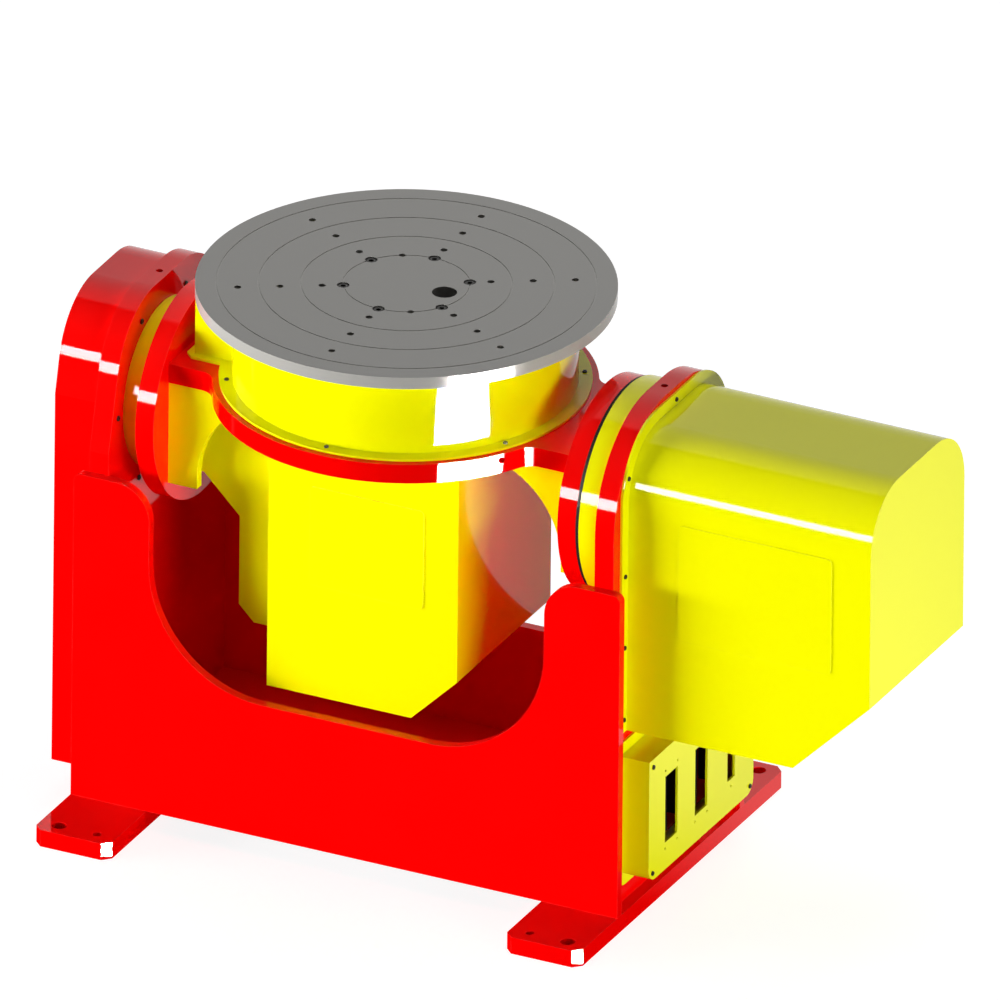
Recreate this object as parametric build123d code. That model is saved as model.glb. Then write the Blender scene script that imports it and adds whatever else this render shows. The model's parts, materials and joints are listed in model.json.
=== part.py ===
from build123d import *
from math import cos, radians, sin, tan
import os

# Two-axis workpiece positioner. A welded frame of two foot rails, two uprights and
# a front and a rear plate carries a cradle that tilts about X. The cradle carries a
# turntable that turns about its own vertical axis. Millimetres, +Z up, origin on the
# floor in the middle of the four anchor holes, +X towards the tilt drive.

# Foot rails
FRAME_WIDTH = 720
RAIL_LENGTH = 550
RAIL_WIDTH = 100
RAIL_THICK = 22
RAIL_CHAMFER = 10
ANCHOR_DIA = 18
ANCHOR_EDGE = 25
ANCHOR_END = 20
LEVEL_DIA = 10.2

# Uprights and end plates
FRAME_MID_Y = -4
UPRIGHT_THICK = 25
SEAT_DEPTH = UPRIGHT_THICK
UPRIGHT_DEPTH = 316
UPRIGHT_TOP = 644
DRIVE_UPRIGHT_R = 134
IDLER_UPRIGHT_R = 100
IDLER_TAPER_FROM = 473
TAPER_DEG = 13.2
PLATE_THICK = 12
PLATE_OVERHANG = 15
EAR_WIDTH = 100
EAR_TOP = 446
EAR_INNER_R = 45
EAR_OUTER_R = 10
GAP_BOTTOM = 196
GAP_CORNER_R = 150
FLOOR_PLATE_Z = 42
FLOOR_PLATE_THICK = 12
LIFT_DIA = 8.5
LIFT_DEPTH = 25

# Tilt axis and its bearings
TILT_Y = -20
TILT_Z = 509
RING_R = 135.5
IDLER_RING_R = 104
RING_THICK = 25
DISC_R = 133
DISC_THICK = 24
DISC_TO_RING = 5
SEAL_WIDTH = 10
SEAL_INSET = 1.5
SEAL_GAP = 0.4
SEAT_R = 78
TRUNNION_R = 50
TRUNNION_FLANGE_R = 74
TRUNNION_FLANGE_THICK = 10
RING_CLEARANCE = 2
CABLE_BORE_R = 32
BEARING_SPLIT_R = 64
RUNNING_GAP = 0.05
SEAT_GAP = 0.02
JOURNAL_REACH = 20
BEARING_CAP_THICK = 8
BEARING_CAP_LIP = 18
CAP_SCREW_R = 5
CAP_SCREW_HEAD = 5
LOCK_NUT_R = 60
LOCK_NUT_GAP = 0.5
LOCK_NUT_THICK = 12.5
LOCK_NUT_SLOT = 8
TRUNNION_BOLT_R = 6
TRUNNION_BOLT_HEAD = 6

# Covers on the uprights
IDLER_COVER_DEPTH = 60
IDLER_COVER_WIDTH = 260
IDLER_COVER_BOTTOM = 40
IDLER_COVER_TOP = 638
IDLER_COVER_TAPER_FROM = 523
IDLER_COVER_R = 90
TILT_COVER_LENGTH = 322
TILT_COVER_WIDTH = 250
TILT_COVER_BOTTOM = 248
TILT_COVER_TOP = 621.5
TILT_COVER_R = 75
TILT_COVER_CHAMFER = 100
COVER_WALL = 3
COVER_FLANGE = 16
FLANGE_THICK = 3
FLANGE_SCREW_INSET = 8
FLANGE_SCREW_RISES = (17, 112, 206)
FLANGE_SCREW_DEG = 24
TILT_PANEL_FROM = 69
TILT_PANEL_LENGTH = 202
TILT_PANEL_BOTTOM = 382
TILT_PANEL_TOP = 534
PANEL_THICK = 1.5
PANEL_R = 6
CONNECTOR_DEPTH = 41
CONNECTOR_FLANGE = 15
CONNECTOR_MARGIN = 18
CONNECTOR_BOTTOM = 60
CONNECTOR_TOP = 220
CONNECTOR_R = 18
SLOT_PITCH = 80
SLOT_WIDTH = 33
SLOT_HEIGHT = 87
SLOT_MID_Z = 139
SLOT_SCREW_Y = 32
SLOT_SCREW_Z = 103
NARROW_SLOT_WIDTH = 20
NARROW_SLOT_HEIGHT = 75
NARROW_SCREW_Z = 94
SLOT_SCREW_DIA = 3.4
LID_SCREW_INSET = 10

# Cradle
CRADLE_RING_R = 229
CRADLE_RING_TOP = 585
ARM_HALF = 94
ARM_FILLET_R = 22
GUSSET_THICK = 12
GUSSET_OUTER = 92
GUSSET_R = 118
GUSSET_TOE = 3
GUSSET_BOTTOM = 427
IDLER_GUSSET_FOOT = 38
DRIVE_GUSSET_FOOT = 15
RIM_TAP_DIA = 8.5
RIM_TAP_DEPTH = 20
RIM_TAP_DEG = 34
RIM_TAP_DROP = 8
SHROUD_R = 205
SHROUD_TOP = 688
SHROUD_WALL = 4
SHROUD_FLANGE_R = 221
SHROUD_FLANGE_THICK = 3
SHROUD_SCREW_R = 212
WING_END = 248
WING_HALF = 60
WING_FLANGE = 10
MOTOR_BOX_WIDTH = 250
MOTOR_BOX_DEPTH = 250
MOTOR_BOX_MID_Y = -5
MOTOR_BOX_BOTTOM = 200
MOTOR_BOX_CHAMFER = 60
BOX_PANEL_MID_X = 5
BOX_PANEL_WIDTH = 150
BOX_PANEL_BOTTOM = 346
BOX_PANEL_TOP = 476
DUCT_HALF = 60
DUCT_SHOULDER_Z = 435
DUCT_OUT_X = 187
DUCT_KNEE_X = 235
DUCT_BOTTOM = 251
DUCT_CHAMFER = 20
DUCT_WINDOW_INSET = 15
DUCT_WINDOW_RISE = 25
DUCT_WINDOW_HEIGHT = 90

# Turntable
TABLE_R = 250
TABLE_TOP = 710
TABLE_THICK = 15
GROOVE_RADII = (75, 125, 175, 225)
GROOVE_WIDTH = 1.6
GROOVE_DEPTH = 0.8
FIXTURE_RADII = (100, 150, 200)
FIXTURE_DIA = 8.5
FIXTURE_START_DEG = 30
TABLE_BOLT_R = 75
TABLE_BOLT_DIA = 8
TABLE_BOLT_HEAD_DIA = 13
TABLE_BOLT_HEAD = 8
TABLE_BOLT_REACH = 12
TABLE_BOLT_GAP = 0.5
HEX_R = 3.4
HEX_DEPTH = 4
COUNTERBORE_DIA = 15
COUNTERBORE_DEPTH = 9
DOWEL_DIA = 8
PORT_DIA = 30
PORT_X = 50
SPINDLE_R = 90
SPINDLE_FLANGE_R = 130
SPINDLE_FLANGE_THICK = 15
SPINDLE_CLEARANCE = 3
SPINDLE_LIFT = 1
SPINDLE_BORE_R = 68
SHAFT_BORE_R = 25
TABLE_BEARING_R = 110
TABLE_BEARING_OUT_R = 140
TABLE_BEARING_HEIGHT = 25

# Gear units and motors
GEAR_FLANGE_R = 98
GEAR_FLANGE_THICK = 20
GEAR_CASE_R = 86
GEAR_CASE_LENGTH = 70
SHAFT_REACH = 14
MOTOR_SIZE = 130
MOTOR_LENGTH = 165
MOTOR_PLATE_THICK = 15
MOTOR_CAP_SIZE = 100
MOTOR_CAP_LENGTH = 30
MOTOR_CHAMFER = 12
MOTOR_PLATE_MARGIN = 10
MOTOR_PLATE_CHAMFER = 15
GEAR_CHAMFER = 6
GEAR_BOLT_R = 4.5
GEAR_BOLT_HEAD = 5
FIN_COUNT = 6
FIN_PITCH = 18
FIN_START = 30
FIN_GROOVE = 7
FIN_DEPTH = 4

# Fasteners
SCREW_HEAD_R = 3.4
SCREW_HEAD = 2
SCREW_HEAD_CHAMFER = 0.7

HALF = FRAME_WIDTH / 2
OUTER_X = HALF - PLATE_OVERHANG
INNER_X = OUTER_X - UPRIGHT_THICK
FRONT_Y = FRAME_MID_Y - UPRIGHT_DEPTH / 2
REAR_Y = FRAME_MID_Y + UPRIGHT_DEPTH / 2
GAP_HALF = HALF - EAR_WIDTH
RING_X = INNER_X - RING_THICK
DISC_X = RING_X - DISC_TO_RING
DISC_INNER_X = DISC_X - DISC_THICK
CRADLE_UNDER = CRADLE_RING_TOP - SEAT_DEPTH
TABLE_UNDER = TABLE_TOP - TABLE_THICK
MOTOR_BOX_FRONT = MOTOR_BOX_MID_Y - MOTOR_BOX_DEPTH / 2
GEAR_LENGTH = GEAR_FLANGE_THICK + GEAR_CASE_LENGTH
TILT_COVER_END = OUTER_X + TILT_COVER_LENGTH
CONNECTOR_WIDTH = UPRIGHT_DEPTH - 2 * CONNECTOR_MARGIN
CONNECTOR_FACE = OUTER_X + CONNECTOR_DEPTH


def plane_x(x):
    """Sketch plane facing +X, with u along Y and v along Z."""
    return Plane(origin=(x, 0, 0), x_dir=(0, 1, 0), z_dir=(1, 0, 0))


def plane_y(y):
    """Sketch plane facing -Y, with u along X and v along Z."""
    return Plane(origin=(0, y, 0), x_dir=(1, 0, 0), z_dir=(0, -1, 0))


def plane_z(z):
    return Plane(origin=(0, 0, z), x_dir=(1, 0, 0), z_dir=(0, 0, 1))


def slab_x(sketch, x0, x1):
    low, high = sorted((x0, x1))
    return extrude(plane_x(low) * sketch, high - low)


def frame_slab(sketch, x0, x1):
    """Slab along X of a sketch drawn about the frame's own middle in Y."""
    return slab_x(Pos(FRAME_MID_Y, 0) * sketch, x0, x1)


def slab_y(sketch, y0, y1):
    low, high = sorted((y0, y1))
    return extrude(plane_y(high) * sketch, high - low)


def slab_z(sketch, z0, z1):
    return extrude(plane_z(z0) * sketch, z1 - z0)


def rod_x(radius, x0, x1, y=TILT_Y, z=TILT_Z):
    return slab_x(Pos(y, z) * Circle(radius), x0, x1)


def rod_z(radius, z0, z1, x=0, y=TILT_Y):
    return slab_z(Pos(x, y) * Circle(radius), z0, z1)


def span(u0, u1, v0, v1):
    """Rectangle between two corners of its sketch plane."""
    return Pos((u0 + u1) / 2, (v0 + v1) / 2) * Rectangle(u1 - u0, v1 - v0)


def corner(sketch, u, v):
    """The vertex of a sketch nearest a point."""
    return min(sketch.vertices(), key=lambda p: (p.X - u) ** 2 + (p.Y - v) ** 2)


def rounded(sketch, radius, *points):
    return fillet([corner(sketch, *p) for p in points], radius)


def circle_points(radius, count, start=0.0):
    step = 360 / count
    angles = [radians(start + step * i) for i in range(count)]
    return [(radius * cos(a), radius * sin(a)) for a in angles]


def solids(shape):
    return list(shape.solids())


# Frame


def foot_rail(side):
    plan = Pos(side * (HALF - RAIL_WIDTH / 2), 0) * Rectangle(RAIL_WIDTH, RAIL_LENGTH)
    plan = chamfer(plan.vertices(), RAIL_CHAMFER)
    hole_y = RAIL_LENGTH / 2 - ANCHOR_END
    for y in (-hole_y, hole_y):
        plan -= Pos(side * (HALF - ANCHOR_EDGE), y) * Circle(ANCHOR_DIA / 2)
        plan -= Pos(side * (HALF - RAIL_WIDTH + ANCHOR_EDGE), y) * Circle(LEVEL_DIA / 2)
    return slab_z(plan, 0, RAIL_THICK)


def end_plate(y0, y1):
    """Plate across the frame with the gap that the cradle swings through."""
    outline = span(-HALF, HALF, RAIL_THICK, EAR_TOP)
    outline -= span(-GAP_HALF, GAP_HALF, GAP_BOTTOM, EAR_TOP + 1)
    outline = rounded(outline, GAP_CORNER_R, (-GAP_HALF, GAP_BOTTOM), (GAP_HALF, GAP_BOTTOM))
    outline = rounded(outline, EAR_INNER_R, (-GAP_HALF, EAR_TOP), (GAP_HALF, EAR_TOP))
    outline = rounded(outline, EAR_OUTER_R, (-HALF, EAR_TOP), (HALF, EAR_TOP))
    return slab_y(outline, y0, y1)


def tapered_outline(width, bottom, top, taper_from, radius):
    """Upright rectangle whose sides lean in above taper_from, with a rounded top."""
    half = width / 2
    lean = (top - taper_from) * tan(radians(TAPER_DEG))
    right = [(half, bottom), (half, taper_from), (half - lean, top)]
    left = [(-u, v) for u, v in reversed(right)]
    outline = make_face(Polyline(*right, *left, close=True))
    return rounded(outline, radius, (lean - half, top), (half - lean, top))


def upright(side, outline):
    plate = frame_slab(outline, side * INNER_X, side * OUTER_X)
    plate -= rod_x(SEAT_R + SEAT_GAP, side * INNER_X, side * OUTER_X)
    lift_x = side * (INNER_X + UPRIGHT_THICK / 2)
    lift = rod_z(LIFT_DIA / 2, UPRIGHT_TOP - LIFT_DEPTH, UPRIGHT_TOP, lift_x, FRAME_MID_Y)
    return plate - lift


def drive_upright():
    half = UPRIGHT_DEPTH / 2
    outline = span(-half, half, RAIL_THICK, UPRIGHT_TOP)
    outline = rounded(outline, DRIVE_UPRIGHT_R, (-half, UPRIGHT_TOP), (half, UPRIGHT_TOP))
    return upright(1, outline)


def idler_upright():
    outline = tapered_outline(
        UPRIGHT_DEPTH, RAIL_THICK, UPRIGHT_TOP, IDLER_TAPER_FROM, IDLER_UPRIGHT_R
    )
    return upright(-1, outline)


def floor_plate():
    plan = span(-INNER_X, INNER_X, FRONT_Y, REAR_Y)
    return slab_z(plan, FLOOR_PLATE_Z, FLOOR_PLATE_Z + FLOOR_PLATE_THICK)


# Tilt bearings


def ring_radius(side):
    return RING_R if side > 0 else IDLER_RING_R


def bearing_ring(side):
    """Stationary ring on the inner face of an upright, round the trunnion."""
    ring = rod_x(ring_radius(side), side * RING_X, side * INNER_X)
    return ring - rod_x(TRUNNION_FLANGE_R + RING_CLEARANCE, side * RING_X, side * INNER_X)


def ring_seal(side):
    x0, x1 = side * (DISC_X + SEAL_GAP), side * RING_X
    outer = ring_radius(side) - SEAL_INSET
    return rod_x(outer, x0, x1) - rod_x(outer - SEAL_WIDTH, x0, x1)


def trunnion_disc(side):
    disc = rod_x(DISC_R, side * DISC_INNER_X, side * DISC_X)
    if side < 0:
        disc -= rod_x(CABLE_BORE_R, side * DISC_INNER_X, side * DISC_X)
    return disc


def trunnion_flange(side):
    shoulder = side * (DISC_X + TRUNNION_FLANGE_THICK)
    return rod_x(TRUNNION_FLANGE_R, side * DISC_X, shoulder)


def idler_trunnion():
    """Hollow journal that the cables to the cradle run through."""
    end = -(OUTER_X + JOURNAL_REACH)
    shaft = trunnion_flange(-1) + rod_x(TRUNNION_R, -DISC_X, end)
    return shaft - rod_x(CABLE_BORE_R, -DISC_X, end)


def drive_trunnion():
    return trunnion_flange(1) + rod_x(TRUNNION_R, DISC_X, OUTER_X + SHAFT_REACH)


def trunnion_bolts(side):
    """Cap screws that hold the trunnion flange to its disc."""
    x0 = side * (DISC_X + TRUNNION_FLANGE_THICK)
    x1 = x0 + side * TRUNNION_BOLT_HEAD
    heads = []
    for y, z in circle_points((TRUNNION_R + TRUNNION_FLANGE_R) / 2, 8):
        heads += solids(rod_x(TRUNNION_BOLT_R, x0, x1, TILT_Y + y, TILT_Z + z))
    return heads


def idler_bearing_outer():
    ring = rod_x(SEAT_R, -INNER_X, -OUTER_X)
    return ring - rod_x(BEARING_SPLIT_R, -INNER_X, -OUTER_X)


def idler_bearing_inner():
    ring = rod_x(BEARING_SPLIT_R - RUNNING_GAP, -INNER_X, -OUTER_X)
    return ring - rod_x(TRUNNION_R + SEAT_GAP, -INNER_X, -OUTER_X)


def idler_bearing_cap():
    x0, x1 = -OUTER_X, -(OUTER_X + BEARING_CAP_THICK)
    return rod_x(SEAT_R + BEARING_CAP_LIP, x0, x1) - rod_x(BEARING_SPLIT_R + RING_CLEARANCE, x0, x1)


def idler_cap_screws():
    x0 = -(OUTER_X + BEARING_CAP_THICK)
    heads = []
    for y, z in circle_points(SEAT_R + BEARING_CAP_LIP / 2, 8):
        heads += solids(rod_x(CAP_SCREW_R, x0, x0 - CAP_SCREW_HEAD, TILT_Y + y, TILT_Z + z))
    return heads


def idler_lock_nut():
    x0 = -(OUTER_X + LOCK_NUT_GAP)
    x1 = x0 - LOCK_NUT_THICK
    nut = rod_x(LOCK_NUT_R, x0, x1) - rod_x(TRUNNION_R + SEAT_GAP, x0, x1)
    slot = Box(2 * LOCK_NUT_THICK, LOCK_NUT_SLOT, LOCK_NUT_SLOT)
    for y, z in circle_points(LOCK_NUT_R, 4, 45):
        nut -= Pos((x0 + x1) / 2, TILT_Y + y, TILT_Z + z) * slot
    return nut


# Gear units and motors, each modelled with its shaft along +Z and its seat at z = 0


def gear_unit():
    """Round reducer: mounting flange, pilot that fills its seat, case and output bore."""
    unit = extrude(Circle(SEAT_R), SEAT_DEPTH)
    unit += extrude(Circle(GEAR_FLANGE_R), -GEAR_FLANGE_THICK)
    case = extrude(Circle(GEAR_CASE_R), -GEAR_LENGTH)
    unit += chamfer(case.faces().sort_by(Axis.Z)[0].edges(), GEAR_CHAMFER)
    for x, y in circle_points((GEAR_FLANGE_R + GEAR_CASE_R) / 2, 12):
        unit += Pos(x, y, -GEAR_FLANGE_THICK) * Cylinder(GEAR_BOLT_R, 2 * GEAR_BOLT_HEAD)
    bore = Circle(TRUNNION_R + RUNNING_GAP)
    return unit - Pos(0, 0, -SHAFT_REACH - 1) * extrude(bore, SEAT_DEPTH + SHAFT_REACH + 1)


def motor_plate():
    size = MOTOR_SIZE + 2 * MOTOR_PLATE_MARGIN
    plate = extrude(Rectangle(size, size), -MOTOR_PLATE_THICK)
    return chamfer(plate.edges().filter_by(Axis.Z), MOTOR_PLATE_CHAMFER)


def servo_motor():
    """Square finned servo motor with an encoder cap at its rear end."""
    body = extrude(Rectangle(MOTOR_SIZE, MOTOR_SIZE), -MOTOR_LENGTH)
    body = chamfer(body.edges().filter_by(Axis.Z), MOTOR_CHAMFER)
    core = MOTOR_SIZE - 2 * FIN_DEPTH
    band = Box(MOTOR_SIZE, MOTOR_SIZE, FIN_GROOVE) - Box(core, core, FIN_GROOVE)
    for i in range(FIN_COUNT):
        body -= Pos(0, 0, -FIN_START - FIN_PITCH * i) * band
    cap = extrude(RectangleRounded(MOTOR_CAP_SIZE, MOTOR_CAP_SIZE, MOTOR_CHAMFER), -MOTOR_CAP_LENGTH)
    return body + Pos(0, 0, -MOTOR_LENGTH) * cap


def on_tilt_axis(shape, x):
    """Place a unit so that its output points at the cradle along -X."""
    return Pos(x, TILT_Y, TILT_Z) * Rot(0, -90, 0) * shape


def on_table_axis(shape, z):
    return Pos(0, TILT_Y, z) * shape


def tilt_gear():
    return on_tilt_axis(gear_unit(), OUTER_X)


def tilt_motor_plate():
    return on_tilt_axis(motor_plate(), OUTER_X + GEAR_LENGTH)


def tilt_motor():
    return on_tilt_axis(servo_motor(), OUTER_X + GEAR_LENGTH + MOTOR_PLATE_THICK)


def table_gear():
    return on_table_axis(gear_unit(), CRADLE_UNDER)


def table_motor_plate():
    return on_table_axis(motor_plate(), CRADLE_UNDER - GEAR_LENGTH)


def table_motor():
    return on_table_axis(servo_motor(), CRADLE_UNDER - GEAR_LENGTH - MOTOR_PLATE_THICK)


# Covers on the uprights


def idler_cover():
    def shape(inset):
        return tapered_outline(
            IDLER_COVER_WIDTH - 2 * inset,
            IDLER_COVER_BOTTOM + inset,
            IDLER_COVER_TOP - inset,
            IDLER_COVER_TAPER_FROM,
            IDLER_COVER_R - inset,
        )

    end = -(OUTER_X + IDLER_COVER_DEPTH)
    hollow = frame_slab(shape(COVER_WALL), -OUTER_X, end + COVER_WALL)
    return frame_slab(shape(0), -OUTER_X, end) - hollow


def tilt_cover_outline(outset, bottom):
    half = TILT_COVER_WIDTH / 2 + outset
    top = TILT_COVER_TOP + outset
    outline = span(-half, half, bottom, top)
    return rounded(outline, TILT_COVER_R + outset, (-half, top), (half, top))


def tilt_cover_block(inset):
    """Cover body, or its hollow, with the sloped lower end."""
    end = TILT_COVER_END - inset
    bottom = TILT_COVER_BOTTOM + inset
    block = frame_slab(tilt_cover_outline(-inset, bottom), OUTER_X, end)
    cut = TILT_COVER_CHAMFER - inset * (2 - 2**0.5)
    side = make_face(Polyline((end - cut, bottom), (end, bottom), (end, bottom + cut), close=True))
    return block - slab_y(side, -TILT_COVER_WIDTH, TILT_COVER_WIDTH)


def tilt_cover():
    outline = tilt_cover_outline(COVER_FLANGE, TILT_COVER_BOTTOM)
    flange = frame_slab(outline, OUTER_X, OUTER_X + FLANGE_THICK)
    return flange + tilt_cover_block(0) - tilt_cover_block(COVER_WALL)


def tilt_cover_screw_points():
    edge = TILT_COVER_WIDTH / 2 + COVER_FLANGE - FLANGE_SCREW_INSET
    top = TILT_COVER_TOP + COVER_FLANGE - FLANGE_SCREW_INSET
    arc = TILT_COVER_R + COVER_FLANGE - FLANGE_SCREW_INSET
    angle = radians(FLANGE_SCREW_DEG)
    points = [(0, top)]
    for side in (-1, 1):
        points += [(side * edge, TILT_COVER_BOTTOM + z) for z in FLANGE_SCREW_RISES]
        points.append((side * (edge - arc + arc * cos(angle)), top - arc + arc * sin(angle)))
    return points


def screws_x(points, x):
    heads = []
    for y, z in points:
        head = rod_x(SCREW_HEAD_R, x, x + SCREW_HEAD, FRAME_MID_Y + y, z)
        heads += solids(chamfer(head.faces().sort_by(Axis.X)[-1].edges(), SCREW_HEAD_CHAMFER))
    return heads


def tilt_cover_screws():
    return screws_x(tilt_cover_screw_points(), OUTER_X + FLANGE_THICK)


def access_panel(x0, x1, z0, z1, y):
    """Thin plate screwed over a hand hole in a front wall."""
    outline = rounded(span(x0, x1, z0, z1), PANEL_R, (x0, z0), (x1, z0), (x0, z1), (x1, z1))
    return slab_y(outline, y - PANEL_THICK, y)


def tilt_cover_panel():
    x0 = OUTER_X + TILT_PANEL_FROM
    wall_y = FRAME_MID_Y - TILT_COVER_WIDTH / 2
    return access_panel(x0, x0 + TILT_PANEL_LENGTH, TILT_PANEL_BOTTOM, TILT_PANEL_TOP, wall_y)


def connector_outline(inset):
    half = CONNECTOR_WIDTH / 2 - inset
    bottom = CONNECTOR_BOTTOM + inset
    outline = span(-half, half, bottom, CONNECTOR_TOP - inset)
    return rounded(outline, CONNECTOR_R - inset, (-half, bottom), (half, bottom))


def connector_box():
    """Sheet-metal box for the cable sockets, open at its end and flanged at the back."""
    end = CONNECTOR_FACE - COVER_WALL
    box = frame_slab(connector_outline(0), OUTER_X, end)
    box += frame_slab(connector_outline(-CONNECTOR_FLANGE), OUTER_X, OUTER_X + FLANGE_THICK)
    return box - frame_slab(connector_outline(COVER_WALL), OUTER_X, end)


def slot_centres():
    return [-SLOT_PITCH, 0, SLOT_PITCH]


def slot_screw_points():
    wide_a, wide_b, narrow = slot_centres()
    points = []
    for z in (-1, 1):
        for y in (-1, 1):
            rise = z * SLOT_SCREW_Z / 2
            points += [(c + y * SLOT_SCREW_Y / 2, SLOT_MID_Z + rise) for c in (wide_a, wide_b)]
        points.append((narrow, SLOT_MID_Z + z * NARROW_SCREW_Z / 2))
    return points


def connector_lid():
    """End plate with two wide and one narrow socket cut-out."""
    lid = connector_outline(0)
    wide_a, wide_b, narrow = slot_centres()
    for y in (wide_a, wide_b):
        lid -= Pos(y, SLOT_MID_Z) * Rectangle(SLOT_WIDTH, SLOT_HEIGHT)
    lid -= Pos(narrow, SLOT_MID_Z) * Rectangle(NARROW_SLOT_WIDTH, NARROW_SLOT_HEIGHT)
    for y, z in slot_screw_points():
        lid -= Pos(y, z) * Circle(SLOT_SCREW_DIA / 2)
    return frame_slab(lid, CONNECTOR_FACE - COVER_WALL, CONNECTOR_FACE)


def connector_lid_screws():
    half = CONNECTOR_WIDTH / 2 - LID_SCREW_INSET
    points = []
    for z in (CONNECTOR_BOTTOM + LID_SCREW_INSET, CONNECTOR_TOP - LID_SCREW_INSET):
        points += [(side * half, z) for side in (-1, 1)]
    return screws_x(points, CONNECTOR_FACE)


# Cradle


def cradle_plate():
    """Ring plate with an arm to each trunnion disc."""
    plan = Circle(CRADLE_RING_R) + Rectangle(2 * DISC_INNER_X, 2 * ARM_HALF)
    meet = (CRADLE_RING_R**2 - ARM_HALF**2) ** 0.5
    corners = [(a * meet, b * ARM_HALF) for a in (-1, 1) for b in (-1, 1)]
    plan = rounded(plan, ARM_FILLET_R, *corners)
    plan -= Circle(SEAT_R + SEAT_GAP)
    plate = slab_z(Pos(0, TILT_Y) * plan, CRADLE_UNDER, CRADLE_RING_TOP)
    tap_z = CRADLE_RING_TOP - RIM_TAP_DROP
    for angle in (RIM_TAP_DEG, 180 - RIM_TAP_DEG, 180 + RIM_TAP_DEG, -RIM_TAP_DEG):
        tap = Pos(CRADLE_RING_R, 0, 0) * Rot(0, 90, 0) * Cylinder(RIM_TAP_DIA / 2, 2 * RIM_TAP_DEPTH)
        plate -= Pos(0, TILT_Y, tap_z) * Rot(0, 0, angle) * tap
    return plate


def gusset(side, end, foot):
    """Web from the cradle plate down to a trunnion disc, with a hollow inner edge."""
    inner = DISC_INNER_X - foot
    centre_x = inner - GUSSET_R
    toe = centre_x + (GUSSET_R**2 - (GUSSET_R - GUSSET_TOE) ** 2) ** 0.5
    outline = span(toe, DISC_INNER_X, GUSSET_BOTTOM, CRADLE_UNDER)
    outline -= Pos(centre_x, CRADLE_UNDER - GUSSET_R) * Circle(GUSSET_R)
    outline -= span(centre_x, inner, GUSSET_BOTTOM, CRADLE_UNDER - GUSSET_R)
    if side < 0:
        outline = mirror(outline, about=Plane.YZ)
    y0 = TILT_Y + end * GUSSET_OUTER
    return slab_y(outline, y0, y0 - end * GUSSET_THICK)


def shroud_plan(inset):
    plan = Circle(SHROUD_R - inset)
    return plan + span(-WING_END + inset, 0, -WING_HALF + inset, WING_HALF - inset)


def shroud():
    """Hood under the turntable, with a wing over the cable path and a screwed rim."""
    hood = slab_z(Pos(0, TILT_Y) * shroud_plan(0), CRADLE_RING_TOP, SHROUD_TOP)
    rim = Circle(SHROUD_FLANGE_R)
    rim_end = WING_END + WING_FLANGE
    rim_half = WING_HALF + WING_FLANGE
    wing_rim = span(-rim_end, 0, -rim_half, rim_half)
    wing_rim = chamfer([corner(wing_rim, -rim_end, v) for v in (-rim_half, rim_half)], WING_FLANGE)
    rim_top = CRADLE_RING_TOP + SHROUD_FLANGE_THICK
    hood += slab_z(Pos(0, TILT_Y) * (rim + wing_rim), CRADLE_RING_TOP, rim_top)
    hollow = Pos(0, TILT_Y) * shroud_plan(SHROUD_WALL)
    hood -= slab_z(hollow, CRADLE_RING_TOP, SHROUD_TOP - SHROUD_WALL)
    return hood - rod_z(SPINDLE_FLANGE_R + SPINDLE_CLEARANCE, CRADLE_RING_TOP, SHROUD_TOP)


def shroud_screws():
    z = CRADLE_RING_TOP + SHROUD_FLANGE_THICK
    heads = []
    for x, y in circle_points(SHROUD_SCREW_R, 6, 30):
        head = rod_z(SCREW_HEAD_R, z, z + SCREW_HEAD, x, TILT_Y + y)
        heads += solids(chamfer(head.faces().sort_by(Axis.Z)[-1].edges(), SCREW_HEAD_CHAMFER))
    return heads


def motor_box_block(inset, top):
    half = MOTOR_BOX_WIDTH / 2 - inset
    bottom = MOTOR_BOX_BOTTOM + inset
    cut = MOTOR_BOX_CHAMFER - inset * (2 - 2**0.5)
    outline = span(-half, half, bottom, top)
    outline = chamfer([corner(outline, half, bottom)], cut)
    depth = MOTOR_BOX_DEPTH / 2 - inset
    return slab_y(outline, MOTOR_BOX_MID_Y - depth, MOTOR_BOX_MID_Y + depth)


def motor_box():
    """Housing of the turntable motor, hung under the cradle plate."""
    box = motor_box_block(0, CRADLE_UNDER) - motor_box_block(COVER_WALL, CRADLE_UNDER)
    half = DUCT_HALF - DUCT_WINDOW_INSET
    sill = DUCT_BOTTOM + DUCT_WINDOW_RISE
    window = span(TILT_Y - half, TILT_Y + half, sill, sill + DUCT_WINDOW_HEIGHT)
    return box - slab_x(window, -MOTOR_BOX_WIDTH / 2, -MOTOR_BOX_WIDTH / 2 + COVER_WALL)


def motor_box_panel():
    x0 = BOX_PANEL_MID_X - BOX_PANEL_WIDTH / 2
    return access_panel(x0, x0 + BOX_PANEL_WIDTH, BOX_PANEL_BOTTOM, BOX_PANEL_TOP, MOTOR_BOX_FRONT)


def duct_outline(inset):
    """Side view of the cable duct, from the idler disc down to the motor box."""
    bend = inset * (2**0.5 - 1)
    knee_z = DUCT_SHOULDER_Z - (DUCT_KNEE_X - DUCT_OUT_X)
    points = [
        (-DISC_INNER_X + inset, CRADLE_UNDER - inset),
        (-DISC_INNER_X + inset, DUCT_SHOULDER_Z + inset),
        (-DUCT_KNEE_X + bend, DUCT_SHOULDER_Z + inset),
        (-DUCT_OUT_X + inset, knee_z + bend),
        (-DUCT_OUT_X + inset, DUCT_BOTTOM + DUCT_CHAMFER + bend),
        (-DUCT_OUT_X + DUCT_CHAMFER + bend, DUCT_BOTTOM + inset),
        (-MOTOR_BOX_WIDTH / 2, DUCT_BOTTOM + inset),
        (-MOTOR_BOX_WIDTH / 2, CRADLE_UNDER - inset),
    ]
    return make_face(Polyline(*points, close=True))


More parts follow.
